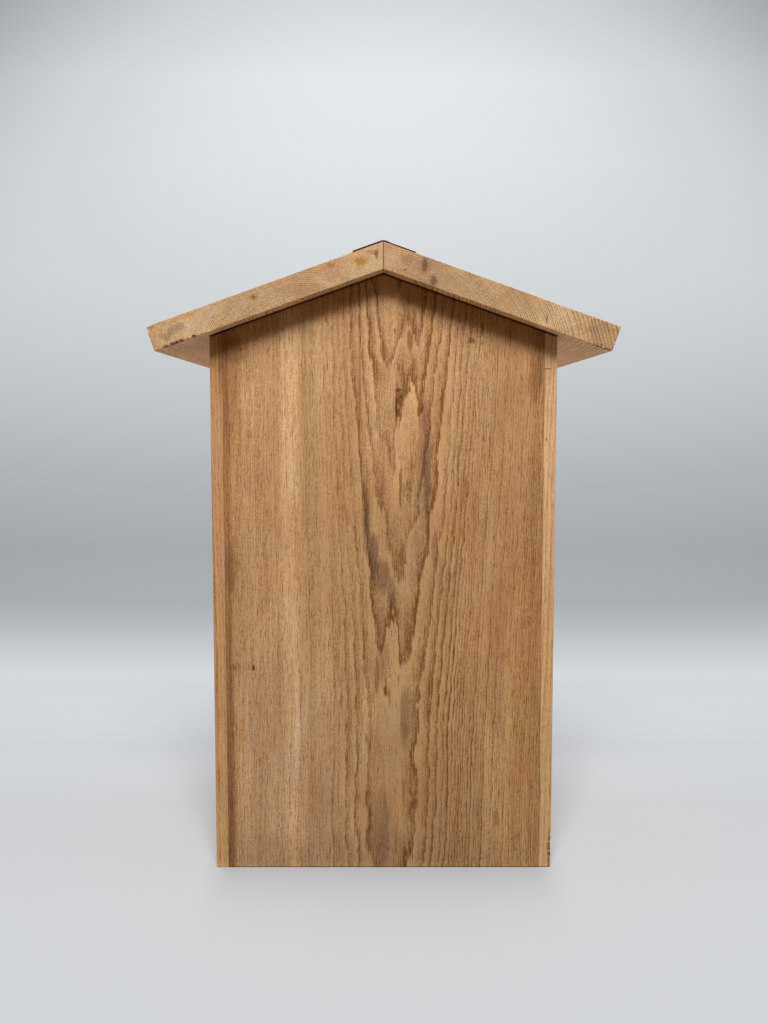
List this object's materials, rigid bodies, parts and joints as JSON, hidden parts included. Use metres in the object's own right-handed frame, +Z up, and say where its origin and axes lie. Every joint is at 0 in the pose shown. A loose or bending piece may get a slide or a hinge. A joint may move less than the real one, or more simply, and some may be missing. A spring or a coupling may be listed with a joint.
{
  "type": "owl nest box",
  "caption": "Upright wooden nest box for a small owl, with a round entrance, a drained floor and a shallow gable roof with a strip bent over its ridge.",
  "frame": {"origin": "middle of the base, on the surface that the box stands on", "axes": "+Z up; +Y towards the gable with the round entrance, so the plain gable faces -Y; +X to the right as seen from the plain gable; the ridge runs along Y"},
  "size_m": [0.3318, 0.292, 0.4584],
  "materials": {
    "gable_board": "planed bare hardwood with open pores, dull",
    "side_board": "planed bare hardwood, dull",
    "floor_board": "planed bare hardwood, dull",
    "roof_board": "planed bare hardwood with sawn end grain, dull",
    "batten": "sawn bare hardwood, dull",
    "ridge_strip": "thin dark brown roofing strip, matt",
    "fastener": "plain steel nail and screw heads, dull, with a little rust"
  },
  "bodies": {
    "root": {"back_wall": "gable_board", "front_wall": "gable_board", "left_wall": "side_board", "right_wall": "side_board", "floor": "floor_board", "roof_left": "roof_board", "roof_right": "roof_board", "ridge_strip": "ridge_strip", "corner_batten_back_left": "batten", "corner_batten_back_right": "batten", "corner_batten_front_left": "batten", "corner_batten_front_right": "batten", "roof_batten_back_left": "batten", "roof_batten_back_right": "batten", "roof_batten_front_left": "batten", "roof_batten_front_right": "batten", "floor_batten_left": "batten", "floor_batten_right": "batten", "floor_batten_back": "batten", "floor_batten_front": "batten"}
  },
  "joints": []
}
